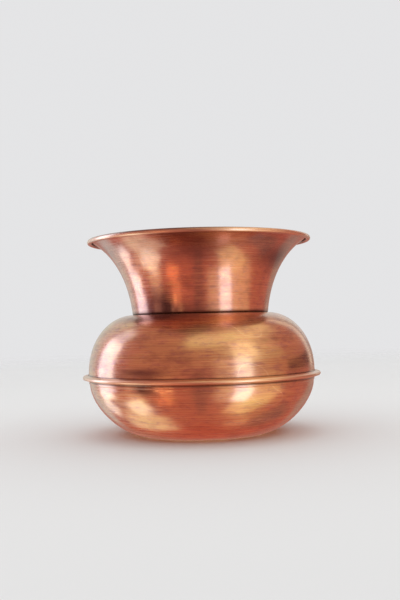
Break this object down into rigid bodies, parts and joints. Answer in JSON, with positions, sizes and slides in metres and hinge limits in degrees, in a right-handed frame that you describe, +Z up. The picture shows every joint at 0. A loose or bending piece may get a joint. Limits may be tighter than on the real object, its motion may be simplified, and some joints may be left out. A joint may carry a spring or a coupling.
{
  "type": "spittoon",
  "caption": "Squat round-bellied metal vessel with a narrow neck that flares to a wide rolled lip, a folded bead round its widest part, and a flat base.",
  "frame": {"origin": "middle of the flat base, on the axis that the vessel was spun about", "axes": "+Z up along the spinning axis, towards the mouth; the vessel is the same all round, so +X and +Y are free"},
  "size_m": [0.125, 0.125, 0.1021],
  "materials": {
    "neck_copper": "satin, lathe-brushed round the axis, lightly tarnished copper",
    "upper_bowl_copper": "satin, lathe-brushed round the axis, golden-brown tarnished copper",
    "lower_bowl_copper": "satin, lathe-brushed round the axis, lightly tarnished copper",
    "rim_wire": "dull drawn copper wire",
    "solder": "dull grey soft solder"
  },
  "bodies": {
    "root": {"flared_neck": "neck_copper", "rim_wire": "rim_wire", "upper_bowl": "upper_bowl_copper", "lower_bowl": "lower_bowl_copper", "neck_solder": "solder"}
  },
  "joints": []
}
